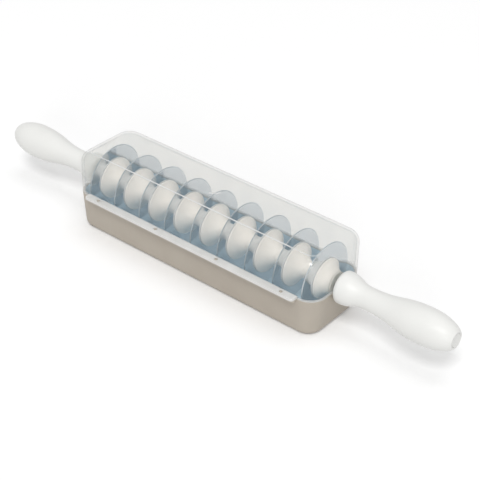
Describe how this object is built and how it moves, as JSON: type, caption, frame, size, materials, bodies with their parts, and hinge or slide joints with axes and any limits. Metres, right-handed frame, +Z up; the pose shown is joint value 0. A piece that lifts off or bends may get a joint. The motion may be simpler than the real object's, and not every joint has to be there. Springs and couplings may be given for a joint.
{
  "type": "dough cutter",
  "caption": "Rolling dough cutter with a row of round blades and two handles, lying in a storage tray under a translucent lift-off cover.",
  "frame": {"origin": "centre of the tray's flat underside", "axes": "+X along the axle, +Z up, so that -Y faces the front of the box"},
  "size_m": [0.428, 0.0675, 0.0652],
  "materials": {
    "tray_plastic": "fine matt, taupe",
    "cover_plastic": "translucent, lightly frosted",
    "blade_steel": "satin stainless, ground edge",
    "spool_plastic": "satin warm white",
    "handle_plastic": "satin white",
    "axle_steel": "drawn bright",
    "bush_plastic": "natural nylon"
  },
  "bodies": {
    "tray": {"storage_tray": "tray_plastic"},
    "cutter": {"axle": "axle_steel", "handle_left": "handle_plastic", "handle_right": "handle_plastic", "handle_screw_left": "axle_steel", "handle_screw_right": "axle_steel", "end_plug_left": "handle_plastic", "end_plug_right": "handle_plastic", "retaining_washer_left": "bush_plastic", "retaining_washer_right": "bush_plastic"},
    "roller": {"core_tube": "axle_steel", "blade_1": "blade_steel", "blade_2": "blade_steel", "blade_3": "blade_steel", "blade_4": "blade_steel", "blade_5": "blade_steel", "blade_6": "blade_steel", "blade_7": "blade_steel", "blade_8": "blade_steel", "blade_9": "blade_steel", "spacer_1": "spool_plastic", "spacer_2": "spool_plastic", "spacer_3": "spool_plastic", "spacer_4": "spool_plastic", "spacer_5": "spool_plastic", "spacer_6": "spool_plastic", "spacer_7": "spool_plastic", "spacer_8": "spool_plastic", "end_hub_left": "spool_plastic", "end_hub_right": "spool_plastic", "bush_left": "bush_plastic", "bush_right": "bush_plastic"},
    "cover": {"cover": "cover_plastic"}
  },
  "joints": [
    {"name": "cutter_lift", "type": "slide", "parent": "tray", "child": "cutter", "axis": [0, 0, 1], "range_m": [0, 0.09]},
    {"name": "roller_spin", "type": "hinge", "parent": "cutter", "child": "roller", "pos_m": [0, 0, 0.034], "axis": [1, 0, 0], "continuous": true},
    {"name": "cover_lift", "type": "slide", "parent": "cutter", "child": "cover", "axis": [0, 0, 1], "range_m": [0, 0.09]}
  ]
}
